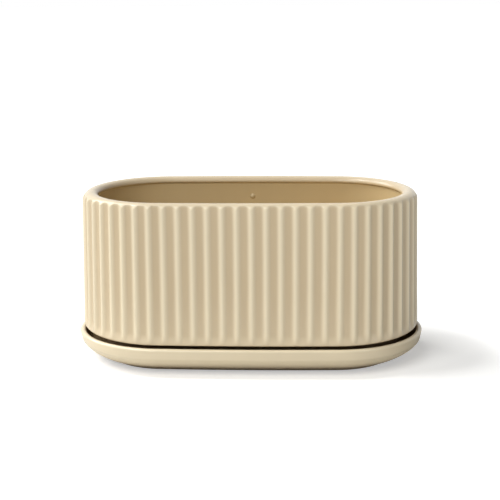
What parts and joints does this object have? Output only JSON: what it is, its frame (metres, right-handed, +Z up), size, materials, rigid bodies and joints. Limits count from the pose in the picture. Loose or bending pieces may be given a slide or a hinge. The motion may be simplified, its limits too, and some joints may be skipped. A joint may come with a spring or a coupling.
{
  "type": "ribbed oblong planter with saucer",
  "caption": "Oblong glazed ceramic planter with bowed sides, upright ribs and a rounded lip, standing in a shallow matching saucer that catches drained water.",
  "frame": {"origin": "middle of the footprint, on the surface that the saucer's foot stands on", "axes": "+X along the planter's length, -Y towards the front long side, +Z up"},
  "size_m": [0.235, 0.1226, 0.115],
  "materials": {
    "pot_glaze": "satin cream-beige glaze",
    "saucer_glaze": "satin cream-beige glaze"
  },
  "bodies": {
    "saucer": {"saucer": "saucer_glaze"},
    "pot": {"pot": "pot_glaze"}
  },
  "joints": [
    {"name": "pot_lift", "type": "slide", "parent": "saucer", "child": "pot", "axis": [0, 0, 1], "range_m": [0, 0.06]}
  ]
}
